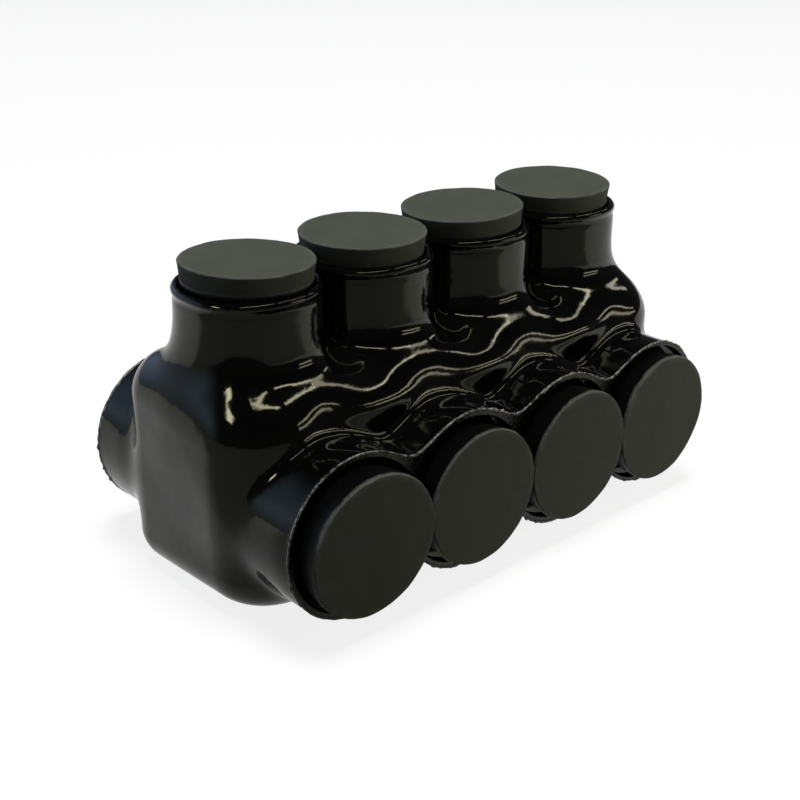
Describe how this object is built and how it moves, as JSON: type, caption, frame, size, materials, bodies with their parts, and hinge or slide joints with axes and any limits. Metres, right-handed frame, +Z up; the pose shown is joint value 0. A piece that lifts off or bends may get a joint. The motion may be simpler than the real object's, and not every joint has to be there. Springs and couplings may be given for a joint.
{
  "type": "insulated multi-tap connector",
  "caption": "Electrical tap connector: a bored aluminium block in a dipped black insulating cover, with wire ports on both long sides, clamp screws under top collars, and rubber plugs.",
  "frame": {"origin": "middle of the flat underside of the insulating cover", "axes": "+Z up, out of the screw collars; X along the row of ports; -Y out of the front row of wire ports"},
  "size_m": [0.1078, 0.0646, 0.0582],
  "materials": {
    "black_plastisol": "glossy dip-coated plastisol",
    "block_aluminium": "tumbled aluminium",
    "screw_aluminium": "turned aluminium",
    "grey_rubber": "dull moulded rubber"
  },
  "bodies": {
    "connector": {"insulating_cover": "black_plastisol", "connector_block": "block_aluminium"},
    "set_screw_1": {"set_screw_1": "screw_aluminium"},
    "screw_cap_1": {"screw_cap_1": "grey_rubber"},
    "front_port_plug_1": {"front_port_plug_1": "grey_rubber"},
    "rear_port_plug_1": {"rear_port_plug_1": "grey_rubber"},
    "set_screw_2": {"set_screw_2": "screw_aluminium"},
    "screw_cap_2": {"screw_cap_2": "grey_rubber"},
    "front_port_plug_2": {"front_port_plug_2": "grey_rubber"},
    "rear_port_plug_2": {"rear_port_plug_2": "grey_rubber"},
    "set_screw_3": {"set_screw_3": "screw_aluminium"},
    "screw_cap_3": {"screw_cap_3": "grey_rubber"},
    "front_port_plug_3": {"front_port_plug_3": "grey_rubber"},
    "rear_port_plug_3": {"rear_port_plug_3": "grey_rubber"},
    "set_screw_4": {"set_screw_4": "screw_aluminium"},
    "screw_cap_4": {"screw_cap_4": "grey_rubber"},
    "front_port_plug_4": {"front_port_plug_4": "grey_rubber"},
    "rear_port_plug_4": {"rear_port_plug_4": "grey_rubber"}
  },
  "joints": [
    {"name": "set_screw_1_travel", "type": "slide", "parent": "connector", "child": "set_screw_1", "axis": [0, 0, 1], "range_m": [-0.009, 0]},
    {"name": "set_screw_2_travel", "type": "slide", "parent": "connector", "child": "set_screw_2", "axis": [0, 0, 1], "range_m": [-0.009, 0]},
    {"name": "set_screw_3_travel", "type": "slide", "parent": "connector", "child": "set_screw_3", "axis": [0, 0, 1], "range_m": [-0.009, 0]},
    {"name": "set_screw_4_travel", "type": "slide", "parent": "connector", "child": "set_screw_4", "axis": [0, 0, 1], "range_m": [-0.009, 0]},
    {"name": "screw_cap_1_pull", "type": "slide", "parent": "connector", "child": "screw_cap_1", "axis": [0, 0, 1], "range_m": [0, 0.04]},
    {"name": "screw_cap_2_pull", "type": "slide", "parent": "connector", "child": "screw_cap_2", "axis": [0, 0, 1], "range_m": [0, 0.04]},
    {"name": "screw_cap_3_pull", "type": "slide", "parent": "connector", "child": "screw_cap_3", "axis": [0, 0, 1], "range_m": [0, 0.04]},
    {"name": "screw_cap_4_pull", "type": "slide", "parent": "connector", "child": "screw_cap_4", "axis": [0, 0, 1], "range_m": [0, 0.04]},
    {"name": "front_port_plug_1_pull", "type": "slide", "parent": "connector", "child": "front_port_plug_1", "axis": [0, -1, 0], "range_m": [0, 0.04]},
    {"name": "front_port_plug_2_pull", "type": "slide", "parent": "connector", "child": "front_port_plug_2", "axis": [0, -1, 0], "range_m": [0, 0.04]},
    {"name": "front_port_plug_3_pull", "type": "slide", "parent": "connector", "child": "front_port_plug_3", "axis": [0, -1, 0], "range_m": [0, 0.04]},
    {"name": "front_port_plug_4_pull", "type": "slide", "parent": "connector", "child": "front_port_plug_4", "axis": [0, -1, 0], "range_m": [0, 0.04]},
    {"name": "rear_port_plug_1_pull", "type": "slide", "parent": "connector", "child": "rear_port_plug_1", "axis": [0, 1, 0], "range_m": [0, 0.04]},
    {"name": "rear_port_plug_2_pull", "type": "slide", "parent": "connector", "child": "rear_port_plug_2", "axis": [0, 1, 0], "range_m": [0, 0.04]},
    {"name": "rear_port_plug_3_pull", "type": "slide", "parent": "connector", "child": "rear_port_plug_3", "axis": [0, 1, 0], "range_m": [0, 0.04]},
    {"name": "rear_port_plug_4_pull", "type": "slide", "parent": "connector", "child": "rear_port_plug_4", "axis": [0, 1, 0], "range_m": [0, 0.04]}
  ]
}
